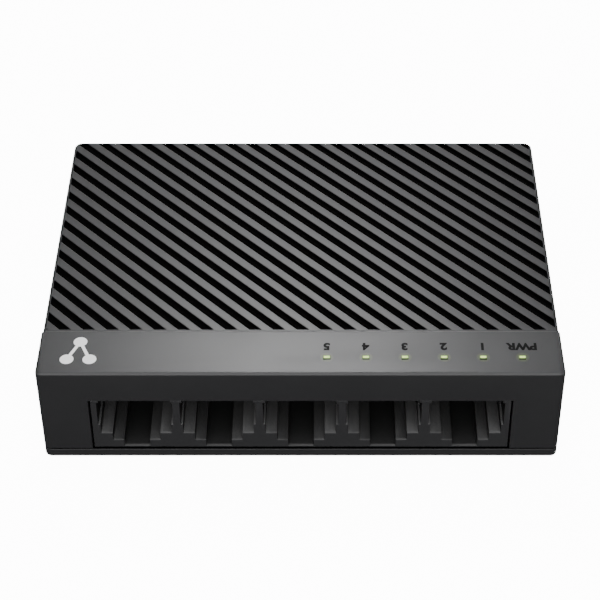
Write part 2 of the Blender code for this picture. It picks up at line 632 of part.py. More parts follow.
def make_jack_springs():
    """Eight wires that turn about one line at their front end, one set in each port."""
    side = SPRING_BAR_SIDE / 2
    half = SPRING_BAR_WIDTH / 2
    bar = add_part("spring_pattern", box_mesh("spring_pattern", [((-half, -side, -side), (half, side, side))]),
                   GOLD)
    bm = bmesh.new()
    for i in range(WIRE_COUNT):
        made = bmesh.ops.create_cone(bm, cap_ends=True, segments=8, radius1=WIRE_RADIUS, radius2=WIRE_RADIUS,
                                     depth=WIRE_LENGTH)
        bmesh.ops.translate(bm, vec=(0, 0, WIRE_LENGTH / 2), verts=made["verts"])
        turn = Matrix.Rotation(-math.pi / 2 - WIRE_SLOPE, 3, "X")
        bmesh.ops.rotate(bm, matrix=turn, verts=made["verts"])
        offset = ((i - (WIRE_COUNT - 1) / 2) * WIRE_PITCH, 0, 0)
        bmesh.ops.translate(bm, vec=offset, verts=made["verts"])
    join(bar, "spring_wires", mesh_from(bm, "spring_wires"))
    shared = frozen(bar, "jack_spring")
    place_y = BLOCK_FACE + SPRING_SETBACK
    place_z = PORT_TOP + SPRING_ROOM / 2
    for number, x in enumerate(reversed(PORT_XS), start=1):
        add_part(f"port_{number}_springs", shared, GOLD, (x, place_y, place_z))


def make_jack_inserts():
    """The insert behind each port: a moulded bar with the soldered ends of its eight wires."""
    thick = TAIL_WIDTH / 2
    outline = [(0, TAIL_RISE), (0, TAIL_RISE - thick), (thick, TAIL_RISE - thick), (thick, 0),
               (TAIL_REACH, 0), (TAIL_REACH, thick), (2 * thick, thick), (2 * thick, TAIL_RISE)]
    tail = prism_bmesh(outline, -TAIL_WIDTH / 2, TAIL_WIDTH / 2)
    upright = Matrix(((0, 0, 1), (1, 0, 0), (0, 1, 0)))
    bmesh.ops.rotate(tail, matrix=upright, verts=tail.verts)
    pattern = mesh_from(tail, "tail")
    offsets = [((i - (WIRE_COUNT - 1) / 2) * WIRE_PITCH, 0, 0) for i in range(WIRE_COUNT)]
    half = SPRING_BAR_WIDTH / 2
    bar = ((-half, 0, TAIL_RISE - 2 * thick), (half, INSERT_DEPTH, TAIL_RISE + INSERT_HEIGHT))
    insert = add_part("insert_pattern", box_mesh("insert_pattern", [bar]), JACK_BLACK)
    join(insert, "tails", repeat_mesh("tails", pattern, offsets))
    shared = frozen(insert, "jack_insert")
    for number, x in enumerate(reversed(PORT_XS), start=1):
        add_part(f"port_{number}_insert", shared, JACK_BLACK, (x, BLOCK_BACK + REST_GAP, SEAT))


def make_circuit_board():
    half = BOARD_HALF_WIDTH
    start = FRONT + BOARD_TONGUE_START
    board = add_part("circuit_board", box_mesh("circuit_board", [
        ((-half, start, BOARD_BOTTOM), (half, BOARD_BACK, BOARD_TOP))]), BOARD_GREEN)
    bay = ((-BLOCK_WIDTH / 2 - REST_GAP, start - MM, BOARD_BOTTOM - MM),
           (BLOCK_WIDTH / 2 + REST_GAP, BLOCK_BACK + REST_GAP, BOARD_TOP + MM))
    cut(board, "jack_bay", box_mesh("jack_bay", [bay]))
    holes = [((x, y, BOARD_BOTTOM - MM), BOARD_THICKNESS + 2 * MM) for x, y in board_screw_places()]
    cut(board, "board_holes", rod_mesh("board_holes", holes, SCREW_RADIUS + REST_GAP, sides=16))
    return board


def make_light_guide():
    """Six clear legs that rise from the lamps, run forward over the block and come up through the top."""
    half = LENS_WIDTH / 2
    leg = GUIDE_LEG_DEPTH / 2
    foot = SEAT + LAMP_SIZE[2] + REST_GAP
    bar = ((min(LAMP_XS), GUIDE_LEG_Y - GUIDE_BAR_WIDTH / 2, GUIDE_BOTTOM + GUIDE_BAR_WIDTH / 4),
           (max(LAMP_XS), GUIDE_LEG_Y + GUIDE_BAR_WIDTH / 2, GUIDE_TOP - GUIDE_BAR_WIDTH / 4))
    guide = add_part("light_guide", box_mesh("light_guide", [bar]), GUIDE_CLEAR)
    front_end = LENS_Y - LENS_DEPTH / 2
    arms = [((x - half, front_end, GUIDE_BOTTOM), (x + half, GUIDE_LEG_Y + leg, GUIDE_TOP)) for x in LAMP_XS]
    trim = GUIDE_LEG_TRIM
    legs = [around(x, GUIDE_LEG_Y, half - trim, leg - trim, foot, GUIDE_TOP - trim) for x in LAMP_XS]
    lenses = [around(x, LENS_Y, half, LENS_DEPTH / 2, GUIDE_TOP - LENS_ROOT, TOP) for x in LAMP_XS]
    join(guide, "guide_arms", box_mesh("guide_arms", arms))
    join(guide, "guide_legs", box_mesh("guide_legs", legs))
    join(guide, "guide_lenses", box_mesh("guide_lenses", lenses))
    return guide


def make_lamps():
    x, y, z = (v / 2 for v in LAMP_SIZE)
    shared = box_mesh("lamp", [((-x, -y, 0), (x, y, 2 * z))])
    names = ["lamp_power"] + [f"lamp_{i}" for i in range(1, LAMP_COUNT)]
    for name, lamp_x in zip(names, LAMP_XS):
        add_part(name, shared, LAMP_WHITE, (lamp_x, GUIDE_LEG_Y, SEAT))


def make_magnetics():
    """Coupling modules behind the jacks, one to a port, with six leads on each long side."""
    wide, deep, tall = MAGNETICS_SIZE
    pattern = add_part("magnetics_pattern", box_mesh("magnetics_pattern", [
        ((-wide / 2, -deep / 2, MAGNETICS_STAND), (wide / 2, deep / 2, tall))]), CHIP_BLACK)
    leads = []
    for i in range(LEAD_COUNT):
        x = (i - (LEAD_COUNT - 1) / 2) * LEAD_PITCH
        for side in (-1, 1):
            ys = sorted((side * (deep / 2 - LEAD_ROOT), side * (deep / 2 + LEAD_REACH)))
            leads.append(((x - LEAD_WIDTH / 2, ys[0], 0), (x + LEAD_WIDTH / 2, ys[1], LEAD_THICKNESS)))
    join(pattern, "magnetics_leads", box_mesh("magnetics_leads", leads))
    shared = frozen(pattern, "magnetics")
    for number, x in enumerate(reversed(PORT_XS), start=1):
        add_part(f"magnetics_{number}", shared, CHIP_BLACK, (x, MAGNETICS_Y, SEAT))


def make_chips():
    """The switch chip and the small parts of the supply and the clock."""
    half = CHIP_SIDE / 2
    chip = add_part("switch_chip", box_mesh("switch_chip", [
        ((-half, -half, 0), (half, half, CHIP_HEIGHT))]), CHIP_BLACK, (0, CHIP_Y, SEAT))
    inset = half - DOT_INSET
    dot = rod_mesh("pin_one_dot", [((-inset, CHIP_Y + inset, SEAT + CHIP_HEIGHT - DOT_DEPTH), MM)],
                   DOT_RADIUS, sides=12)
    cut(chip, "pin_one_dot", dot)
    small = (("memory_chip", (-13.0, -2.6), (5.0, 4.0, 1.5), CHIP_BLACK),
             ("voltage_regulator", (10.5, -2.9), (5.0, 4.0, 1.5), CHIP_BLACK),
             ("surge_diode", (19.5, -3.5), (5.0, 2.6, 2.2), CHIP_BLACK),
             ("power_choke", (10.5, 2.6), (6.0, 6.0, 3.0), FERRITE))
    for name, (x, y), (wide, deep, tall), material in small:
        corner_xy = (wide * MM / 2, deep * MM / 2)
        shape = box_mesh(name, [((-corner_xy[0], -corner_xy[1], 0), (*corner_xy, tall * MM))])
        add_part(name, shape, material, (x * MM, CHIP_Y + y * MM, SEAT))
    length, width, height = CRYSTAL_SIZE
    crystal = filleted_prism_mesh("crystal", slot_outline(length, width), 0, height, height, CRYSTAL_FILLET)
    add_part("crystal", crystal, STEEL, (-13.0 * MM, CHIP_Y + 3.4 * MM, SEAT))


def slot_outline(length, width, steps=8):
    """A rectangle with half-round ends, seen from above."""
    radius = width / 2
    straight = length / 2 - radius
    points = []
    for centre, start in ((straight, -math.pi / 2), (-straight, math.pi / 2)):
        angles = [start + math.pi * i / steps for i in range(steps + 1)]
        points += [(centre + radius * math.cos(a), radius * math.sin(a)) for a in angles]
    return points


def make_capacitors():
    """Two aluminium cans on square bases."""
    pattern = add_part("can_pattern", box_mesh("can_pattern", [
        ((-CAN_BASE / 2, -CAN_BASE / 2, 0), (CAN_BASE / 2, CAN_BASE / 2, CAN_BASE_HEIGHT))]), ALUMINIUM)
    can = rod_mesh("can", [((0, 0, CAN_BASE_HEIGHT / 2), CAN_HEIGHT)], CAN_RADIUS)
    join(pattern, "can", can)
    shared = frozen(pattern, "capacitor")
    for name, x in (("capacitor_input", -25.0), ("capacitor_output", -33.0)):
        add_part(name, shared, ALUMINIUM, (x * MM, CHIP_Y, SEAT))


def make_power_jack():
    """A moulded socket for a round plug: bore, centre pin and a leaf that presses on the plug's sleeve."""
    half = DC_WIDTH / 2
    low = (DC_REAR, DC_AXIS_Y - half, SEAT)
    housing = add_part("power_jack", box_mesh("power_jack", [
        (low, (DC_FACE, DC_AXIS_Y + half, SEAT + DC_HEIGHT))]), JACK_BLACK)
    nose_end = WIDTH / 2 - STRIP_PROUD
    nose = [((DC_FACE - MM, DC_AXIS_Y, DC_AXIS_Z), nose_end - DC_FACE + MM)]
    join(housing, "jack_nose", rod_mesh("jack_nose", nose, DC_NOSE_RADIUS, "X", 32))
    bore_end = nose_end - DC_BORE_DEPTH
    bore = [((bore_end, DC_AXIS_Y, DC_AXIS_Z), DC_BORE_DEPTH + MM)]
    cut(housing, "jack_bore", rod_mesh("jack_bore", bore, DC_BORE_RADIUS, "X", 32))
    hole = [((DC_REAR - MM, DC_AXIS_Y, DC_AXIS_Z), DC_LENGTH)]
    cut(housing, "pin_hole", rod_mesh("pin_hole", hole, DC_PIN_RADIUS + REST_GAP, "X", 16))
    leaf_end = DC_FACE - LEAF_SETBACK
    slot = ((leaf_end - LEAF_LENGTH - MM, DC_AXIS_Y - LEAF_SLOT_WIDTH / 2, SEAT - MM),
            (leaf_end + LEAF_END_ROOM, DC_AXIS_Y + LEAF_SLOT_WIDTH / 2, DC_AXIS_Z))
    cut(housing, "leaf_slot", box_mesh("leaf_slot", [slot]))
    pin_start = DC_REAR - DC_PIN_TAIL
    pin_end = bore_end + DC_PIN_LENGTH - MM
    pin = rod_mesh("power_jack_pin", [((0, 0, 0), pin_end - pin_start)], DC_PIN_RADIUS, "X", 16)
    add_part("power_jack_pin", pin, TIN, (pin_start, DC_AXIS_Y, DC_AXIS_Z))
    # The leaf turns about its fixed end, at the inner end of the slot, and slopes up into the bore.
    rise = LEAF_THICKNESS
    leaf = box_mesh("power_jack_leaf", [((-rise / 2, -LEAF_WIDTH / 2, -rise / 2),
                                         (LEAF_LENGTH, LEAF_WIDTH / 2, rise / 2))])
    place = (leaf_end - LEAF_LENGTH, DC_AXIS_Y, DC_AXIS_Z - DC_BORE_RADIUS - LEAF_DROP)
    part = add_part("power_jack_leaf", leaf, TIN, place)
    part.rotation_euler = (0.0, -LEAF_TILT, 0.0)


def make_feet():
    shared = rod_mesh("foot", [((0, 0, 0), FOOT_PROUD + FOOT_RECESS - SEAM_GAP)], FOOT_RADIUS)
    for name, (x, y) in foot_places().items():
        add_part(name, shared, FOOT_RUBBER, (x, y, 0))


def add_screw(name, place, length, head_up):
    """A pan-headed screw, turned from half its outline, with its head's face at the place given."""
    profile = [(0, length), (SCREW_RADIUS, length), (SCREW_RADIUS, SCREW_HEAD_HEIGHT),
               (SCREW_HEAD_RADIUS, SCREW_HEAD_HEIGHT), (SCREW_HEAD_RADIUS, 0), (0, 0)]
    if head_up:
        profile = [(r, -h) for r, h in reversed(profile)]
    mesh = bpy.data.meshes.new(name)
    mesh.from_pydata([(r, 0, h) for r, h in profile], [(i, i + 1) for i in range(len(profile) - 1)], [])
    screw = add_part(name, mesh, STEEL, place)
    turned = screw.modifiers.new("turned", "SCREW")
    turned.steps = 16
    turned.render_steps = 16
    turned.use_merge_vertices = True
    turned.merge_threshold = 0.01 * MM
    turned.use_smooth_shade = False
    return screw


def make_screws():
    sides = ("left", "right")
    head_low = BOTTOM + HEAD_SINK - SEAM_GAP - SCREW_HEAD_HEIGHT
    for side, x in zip(sides, (-BOSS_X, BOSS_X)):
        add_screw(f"case_screw_{side}", (x, BOSS_Y, head_low), SCREW_LENGTH, False)
    head_top = BOARD_TOP + REST_GAP + SCREW_HEAD_HEIGHT
    length = BOARD_SCREW_LENGTH + SCREW_HEAD_HEIGHT
    for side, (x, y) in zip(sides, board_screw_places()):
        add_screw(f"board_screw_{side}", (x, y, head_top), length, True)


def make_label():
    half_x, half_y = (v / 2 for v in LABEL_SIZE)
    plate = box_mesh("rating_label", [((-half_x, -half_y, 0), (half_x, half_y, LABEL_THICKNESS))])
    place = (0, FRONT + LABEL_SETBACK, BOTTOM + LABEL_RECESS - LABEL_THICKNESS - LABEL_GAP)
    add_part("rating_label", plate, LABEL_PAPER, place)


make_top_cover()
make_base_tray()
make_jack_block()
make_jack_springs()
make_jack_inserts()
make_circuit_board()
make_light_guide()
make_lamps()
make_magnetics()
make_chips()
make_capacitors()
make_power_jack()
make_feet()
make_screws()
make_label()
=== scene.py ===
"""Looks for a five-port desktop network switch: a ribbed black case over a row of sunken sockets."""
import json
import math

import bmesh
import bpy
import numpy as np
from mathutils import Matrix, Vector


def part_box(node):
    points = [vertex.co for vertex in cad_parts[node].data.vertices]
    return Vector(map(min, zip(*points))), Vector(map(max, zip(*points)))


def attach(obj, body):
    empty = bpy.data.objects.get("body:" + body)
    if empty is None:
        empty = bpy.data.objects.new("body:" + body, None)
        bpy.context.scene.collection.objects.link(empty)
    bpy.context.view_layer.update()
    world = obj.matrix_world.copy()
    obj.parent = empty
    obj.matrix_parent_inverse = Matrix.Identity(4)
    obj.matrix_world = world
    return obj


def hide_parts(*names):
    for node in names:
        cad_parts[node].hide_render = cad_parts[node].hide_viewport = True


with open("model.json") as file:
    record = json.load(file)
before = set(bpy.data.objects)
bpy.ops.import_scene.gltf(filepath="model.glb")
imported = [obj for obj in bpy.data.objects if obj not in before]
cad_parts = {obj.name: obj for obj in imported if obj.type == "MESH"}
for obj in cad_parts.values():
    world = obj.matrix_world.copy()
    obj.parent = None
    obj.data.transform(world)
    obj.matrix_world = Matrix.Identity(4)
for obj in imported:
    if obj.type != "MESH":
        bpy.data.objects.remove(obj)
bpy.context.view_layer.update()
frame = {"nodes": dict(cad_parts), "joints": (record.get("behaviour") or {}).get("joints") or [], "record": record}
MM = 0.001
UP = np.array([0.0, 0.0, 1.0])

NODE_BODY = {node: body for body, nodes in frame["record"]["behaviour"]["bodies"].items() for node in nodes}


def span(node):
    """A node's lowest and highest corner as arrays."""
    low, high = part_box(node)
    return np.array(low), np.array(high)


def middle(node):
    low, high = span(node)
    return (low + high) / 2


# ---------------------------------------------------------------- sizes
COVER_LOW, COVER_HIGH = span("top_cover")
BLOCK_LOW, BLOCK_HIGH = span("jack_block")
HALF_WIDTH = COVER_HIGH[0]
FRONT = COVER_LOW[1]
BACK = COVER_HIGH[1]
TOP = COVER_HIGH[2]
SEAM = COVER_LOW[2]
WALL = 1.6 * MM
ROOF = 2.0 * MM
FRONT_CORNER = 1.0 * MM
BACK_CORNER = 1.5 * MM
TOP_FILLET = 0.5 * MM
SEAM_EDGE = 0.12 * MM
TRAY_RIM = SEAM - 0.2 * MM
STRIP_DEPTH = 10.58 * MM
STRIP_PROUD = 0.22 * MM
WINDOW_HALF = BLOCK_HIGH[0] + 0.3 * MM
WINDOW_TOP = 13.74 * MM
SHARP = 35.0
THINNEST = 0.05 * MM
JACK_HOLE_RADIUS = 4.3 * MM
JACK_HOLE_REACH = 6 * MM

RIB_PITCH = 2.924 * MM
RIB_ANGLE = math.radians(43.43)
GROOVE_WIDTH = 1.46 * MM
GROOVE_DEPTH = 0.7 * MM
GROOVE_PHASE = 2.312
RIB_START = FRONT + 10.99 * MM
RIB_RIM = 0.35 * MM
RIB_EDGE = 0.10 * MM
RIB_SHOULDER = 0.02 * MM
GROOVE_DRAFT = 0.05 * MM
PANEL_DEPTH = 1.0 * MM
PANEL_GAP = 0.01 * MM

# Heights for the jack block's painted shade and light: painted shade darkest down in the latch notches, full
# painted light on the socket floors, more painted light on the ledges.
NOTCH_PAINTED_SHADE = 3.0 * MM
PORT_PAINTED_LIGHT = 6.3 * MM
LEDGE_PAINTED_LIGHT = 7.8 * MM
LIP_BACK = BLOCK_LOW[1] + 0.35 * MM

WIRE_RADIUS = 0.18 * MM
WIRE_PITCH = 1.016 * MM
WIRE_SLOPE = math.radians(25.0)
WIRE_TURN = 0.40 * MM
WIRE_TAIL = 0.25 * MM
WIRE_RUN = 5.4 * MM
TIP_TURN = 1.0 * MM
SPRING_PIVOT = next(joint["pos_m"] for joint in frame["joints"] if joint["name"] == "port_1_spring")[1:]
FOOT_RIM = 0.35 * MM
FOOT_DISH = 0.12 * MM
SCREW_SHANK = 0.8 * MM
SCREW_HEAD = 1.2 * MM
SCREW_DOME = 0.45 * MM
DOME_ANGLE = 0.9
THREAD_PITCH = 0.7 * MM
THREAD_DEPTH = 0.14 * MM

LAMPS = ["lamp_power", "lamp_1", "lamp_2", "lamp_3", "lamp_4", "lamp_5"]
LAMP_XS = [middle(name)[0] for name in LAMPS]
LENS_Y = FRONT + 4.09 * MM
LENS_HALF = (0.60 * MM, 0.375 * MM)
LENS_CLEARANCE = 0.03 * MM
LENS_PIT = 0.16 * MM
LENS_DIM = 0.58 * MM
LENS_BRIGHT = 0.38 * MM
LABEL_Y = FRONT + 6.74 * MM
LABEL_HEIGHT = 1.60 * MM
LETTER_BOLD = 0.11 * MM
INK_THICKNESS = 0.012 * MM
GLYPH_CENTRE = (-37.0 * MM, FRONT + 5.5 * MM)
GLYPH_DOT = 1.15 * MM
GLYPH_BAR_HALF = 0.28 * MM
GLYPH_BAR_START = 1.0 * MM
GLYPH_RISE = 2.4 * MM
GLYPH_FALL = 1.9 * MM

CASE_SPECULAR = 0.36
CASE_GRAIN = 0.28 * MM
CASE_GRAIN_DEPTH = 0.004 * MM
HALO = 1.3 * MM
HALO_CORE = 0.3 * MM
SHADE_EDGE = (-1.1 * MM, -0.5 * MM)
FLOOR_REACH = 3.0
FLOOR_GLOW = 12.0
BACKDROP_RADIUS = 2.8
BACKDROP_HEIGHT = 4.0


# ---------------------------------------------------------------- making meshes
def add_piece(name, mesh, body, *nodes):
    """A finished object that rides on a body and stands for the nodes given."""
    piece = bpy.data.objects.new(name, mesh)
    bpy.context.scene.collection.objects.link(piece)
    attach(piece, body)
    if nodes:
        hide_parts(*nodes)
    return piece


def shade(mesh):
    """Smooth shading, with edges left sharp past one angle."""
    mesh.shade_smooth()
    mesh.set_sharp_from_angle(angle=math.radians(SHARP))
    return mesh


def clean_mesh(name, verts, faces):
    """A mesh with its doubles merged, its faces pointing out and its edges shaded."""
    mesh = bpy.data.meshes.new(name)
    mesh.from_pydata(verts.tolist(), [], faces)
    bm = bmesh.new()
    bm.from_mesh(mesh)
    bmesh.ops.remove_doubles(bm, verts=bm.verts, dist=1e-7)
    bmesh.ops.dissolve_degenerate(bm, dist=1e-7, edges=bm.edges)
    bmesh.ops.recalc_face_normals(bm, faces=bm.faces)
    bm.to_mesh(mesh)
    bm.free()
    return shade(mesh)


def grid_faces(rows, columns, closed_rows=False, closed_columns=False):
    """Quads over a grid of points, row by row; either way may join its last line to its first."""
    r = np.arange(rows if closed_rows else rows - 1)
    c = np.arange(columns if closed_columns else columns - 1)
    rr, cc = np.meshgrid(r, c, indexing="ij")
    nr, nc = (rr + 1) % rows, (cc + 1) % columns
    quads = np.stack([rr * columns + cc, rr * columns + nc, nr * columns + nc, nr * columns + cc], -1)
    return quads.reshape(-1, 4).tolist()


def rings_mesh(name, rings, capped=True):
    """A skin over closed rings of points, one after another, with the first and last ring filled flat."""
    points = np.array(rings)
    rows, columns = points.shape[:2]
    faces = grid_faces(rows, columns, closed_columns=True)
    if capped:
        faces.append(list(range(columns))[::-1])
        faces.append([(rows - 1) * columns + i for i in range(columns)])
    return clean_mesh(name, points.reshape(-1, 3), faces)


def turned_mesh(name, profile, centre, axis="Z", sides=48):
    """A profile of (radius, height) turned once about an axis: x = r cos a, y = r sin a, z = h."""
    angles = np.linspace(0, 2 * math.pi, sides, endpoint=False)
    radius, height = np.array(profile).T
    ring = np.stack([np.cos(angles), np.sin(angles), np.zeros(sides)], -1)
    points = radius[:, None, None] * ring + height[:, None, None] * UP
    if axis == "X":
        points = points[..., [2, 0, 1]]
    points = points + np.array(centre)
    return rings_mesh(name, points, capped=False)


def arc(cx, cy, radius, start, end, steps):
    """Points on a circle from one angle to another, in degrees."""
    a = np.radians(np.linspace(start, end, steps))
    return np.stack([cx + radius * np.cos(a), cy + radius * np.sin(a)], -1)


def case_ring(inset=0.0, steps=9):
    """The case's outline, moved in by an inset. Every inset gives the same number of points in the
    same order: the front edge with the window's two jambs, then the sides with the strip's step."""
    side = HALF_WIDTH - inset
    slim = side - STRIP_PROUD
    front, back = FRONT + inset, BACK - inset
    rf = max(FRONT_CORNER - inset, THINNEST)
    rb = max(BACK_CORNER - inset, THINNEST)
    end = FRONT + STRIP_DEPTH
    sill = [[x, front] for x in (-WINDOW_HALF, -WINDOW_HALF, WINDOW_HALF, WINDOW_HALF)]
    return np.concatenate([
        sill,
        arc(side - rf, front + rf, rf, -90, 0, steps),
        [[side, end - THINNEST], [slim, end + THINNEST]],
        arc(slim - rb, back - rb, rb, 0, 90, steps),
        arc(-slim + rb, back - rb, rb, 90, 180, steps),
        [[-slim, end + THINNEST], [-side, end - THINNEST]],
        arc(-side + rf, front + rf, rf, 180, 270, steps)])


def field_ring(steps=9):
    """The edge of the ribbed field, point for point beside the case's outline."""
    side = HALF_WIDTH - STRIP_PROUD - RIB_RIM
    back = BACK - RIB_RIM
    radius = BACK_CORNER - RIB_RIM
    front_right = np.tile([[side, RIB_START]], (steps + 2, 1))
    front_left = front_right * [-1, 1]
    sill = [[x, RIB_START] for x in (-WINDOW_HALF, -WINDOW_HALF, WINDOW_HALF, WINDOW_HALF)]
    return np.concatenate([
        sill, front_right,
        arc(side - radius, back - radius, radius, 0, 90, steps),
        arc(-side + radius, back - radius, radius, 90, 180, steps),
        front_left])


def at_height(ring, height):
    """A flat ring of points lifted to a height, or to a height for each point."""
    return np.column_stack([ring, np.broadcast_to(height, len(ring))])


def box_cutter(name, low, high):
    """A closed box between two corners, to cut with."""
    corners = np.array([[x, y, z] for x in (low[0], high[0]) for y in (low[1], high[1])
                        for z in (low[2], high[2])])
    faces = [(0, 1, 3, 2), (4, 6, 7, 5), (0, 4, 5, 1), (2, 3, 7, 6), (0, 2, 6, 4), (1, 5, 7, 3)]
    return clean_mesh(name, corners, faces)


def carve(piece, meshes):
    """Cuts each mesh out of the piece's own mesh, and leaves no modifier or tool behind."""
    for mesh in meshes:
        tool = bpy.data.objects.new("tool", mesh)
        bpy.context.scene.collection.objects.link(tool)
        boolean = piece.modifiers.new("carve", "BOOLEAN")
        boolean.operation = "DIFFERENCE"
        boolean.solver = "EXACT"
        boolean.object = tool
        graph = bpy.context.evaluated_depsgraph_get()
        result = bpy.data.meshes.new_from_object(piece.evaluated_get(graph))
        piece.modifiers.clear()
        piece.data = result
        bpy.data.objects.remove(tool, do_unlink=True)
    shade(piece.data)
    return piece


def make_cover():
    """The cover's shell: a profile carried round the case's outline. The profile starts under the roof,
    goes down the inner wall, round the lower edge, up the outer wall, over the top's fillet and in to
    the ribbed field, where it drops to the bed that the ribs lie in. Across the window the lower edge
    is lifted to the window's top."""
    outline = case_ring()
    jamb = np.zeros(len(outline), bool)
    jamb[1:3] = True
    lower = np.where(jamb, WINDOW_TOP, SEAM)
    rings = [at_height(case_ring(WALL), TOP - ROOF)]
    rings.append(at_height(case_ring(WALL), lower))
    rings.append(at_height(case_ring(SEAM_EDGE), lower))
    rings.append(at_height(outline, lower + SEAM_EDGE))
    for a in np.radians(np.linspace(0, 90, 7)):
        inset = TOP_FILLET * (1 - math.cos(a))
        rings.append(at_height(case_ring(inset), TOP - TOP_FILLET * (1 - math.sin(a))))
    rings.append(at_height(field_ring(), TOP))
    rings.append(at_height(field_ring(), TOP - PANEL_DEPTH))
    cover = add_piece("cover_shell", rings_mesh("cover_shell", rings), "case", "top_cover")
    hx, hy = LENS_HALF[0] + LENS_CLEARANCE, LENS_HALF[1] + LENS_CLEARANCE
    tools = [box_cutter("lens_hole", (x - hx, LENS_Y - hy - LENS_PIT, TOP - 2 * ROOF),
                        (x + hx, LENS_Y + hy, TOP + MM)) for x in LAMP_XS]
    jack = middle("power_jack_pin")
    start = HALF_WIDTH - 2 * WALL - jack[0]
    end = start + JACK_HOLE_REACH
    drill = [(0, start), (JACK_HOLE_RADIUS, start), (JACK_HOLE_RADIUS, end), (0, end)]
    tools.append(turned_mesh("jack_hole", drill, jack, "X", 64))
    return carve(cover, tools)


def rib_heights():
    """Places across the ribs, and the surface's depth below the top at each: flat on a rib, a quarter
    round down its edge, nearly upright down its side, flat on the groove's floor."""
    half = GROOVE_WIDTH / 2
    turn = np.radians(np.linspace(0, 90, 5))
    edge_v = np.append(-half - RIB_EDGE - RIB_SHOULDER, -half - RIB_EDGE * (1 - np.sin(turn)))
    edge_h = np.append(0.0, -RIB_EDGE * (1 - np.cos(turn)))
    side_v = np.concatenate([edge_v, [-half + GROOVE_DRAFT]])
    side_h = np.concatenate([edge_h, [-GROOVE_DEPTH]])
    one_v = np.concatenate([side_v, -side_v[::-1]])
    one_h = np.concatenate([side_h, side_h[::-1]])
    counts = np.arange(-30, 60)
    centres = (counts - GROOVE_PHASE) * RIB_PITCH
    return (centres[:, None] + one_v).ravel(), np.tile(one_h, len(counts))


def make_ribs():
    """The ribbed panel: for each line along the ribs, a closed loop of points goes over the top between
    the two places where the line meets the field's edge, and back underneath. The lines run across the
    field from one corner to the opposite one, where the loops shrink to nothing."""
    ring = field_ring() * (1 - PANEL_GAP / HALF_WIDTH)
    across = np.array([math.cos(RIB_ANGLE), math.sin(RIB_ANGLE)])
    along = np.array([-across[1], across[0]])
    base = np.array([0.0, FRONT])
    corners = (ring - base) @ across
    v, h = rib_heights()
    inside = (v > corners.min()) & (v < corners.max())
    extra = np.unique(corners)
    places = np.concatenate([v[inside], extra])
    depth = np.concatenate([h[inside], np.interp(extra, v, h)])
    order = np.argsort(places, kind="stable")
    places, depth = places[order], depth[order]
    edge = np.roll(ring, -1, 0) - ring
    keep = np.hypot(*edge.T) > 1e-7
    start, edge = ring[keep], edge[keep]
    outward = np.column_stack([edge[:, 1], -edge[:, 0]])
    reach = np.einsum("ij,ij->i", outward, start)
    lines = base + places[:, None] * across
    slack = reach - lines @ outward.T
    rate = outward @ along
    with np.errstate(divide="ignore", invalid="ignore"):
        crossing = slack / rate
    far = np.where(rate > 1e-12, crossing, np.inf).min(1)
    near = np.where(rate < -1e-12, crossing, -np.inf).max(1)
    near, far = np.minimum(near, far), np.maximum(near, far)
    bottom = TOP - PANEL_DEPTH + PANEL_GAP
    s = np.stack([near, near, near, far, far, far], 1)
    z = np.stack([np.full_like(near, bottom), np.full_like(near, TOP), TOP + depth,
                  TOP + depth, np.full_like(near, TOP), np.full_like(near, bottom)], 1)
    flat = lines[:, None, :] + s[..., None] * along
    points = np.concatenate([flat, z[..., None]], -1)
    faces = grid_faces(len(places), 6, closed_columns=True)
    mesh = clean_mesh("cover_ribs", points.reshape(-1, 3), faces)
    return add_piece("cover_ribs", mesh, "case", "top_cover")


def softened(node, width, clamp):
    """A node's own shape with its edges rounded, riding where the node does."""
    mesh = frame["nodes"][node].data.copy()
    bm = bmesh.new()
    bm.from_mesh(mesh)
    bmesh.ops.remove_doubles(bm, verts=bm.verts, dist=1e-6)
    bmesh.ops.dissolve_limit(bm, angle_limit=math.radians(1), verts=bm.verts, edges=bm.edges)
    bm.to_mesh(mesh)
    bm.free()
    mesh.materials.clear()
    piece = add_piece(f"{node}_fine", mesh, NODE_BODY[node], node)
    shade(mesh)
    bevel = piece.modifiers.new("edges", "BEVEL")
    bevel.width = width
    bevel.segments = 2
    bevel.limit_method = "ANGLE"
    bevel.angle_limit = math.radians(SHARP)
    bevel.harden_normals = True
    bevel.use_clamp_overlap = clamp
    bevel.material = 0
    return piece


def tube_rings(path, radius, sides=10):
    """Rings round a path in one upright plane: each is a circle square to the path's own direction."""
    path = np.array(path)
    ahead = np.gradient(path, axis=0)
    ahead /= np.linalg.norm(ahead, axis=1)[:, None]
    side = np.array([1.0, 0.0, 0.0])
    above = np.cross(side, ahead)
    a = np.linspace(0, 2 * math.pi, sides, endpoint=False)
    return path[:, None] + radius * (np.cos(a)[:, None] * side + np.sin(a)[:, None] * above[:, None])


def merged(name, meshes):
    """One mesh from several."""
    bm = bmesh.new()
    for mesh in meshes:
        bm.from_mesh(mesh)
        bpy.data.meshes.remove(mesh)
    whole = bpy.data.meshes.new(name)
    bm.to_mesh(whole)
    bm.free()
    return shade(whole)


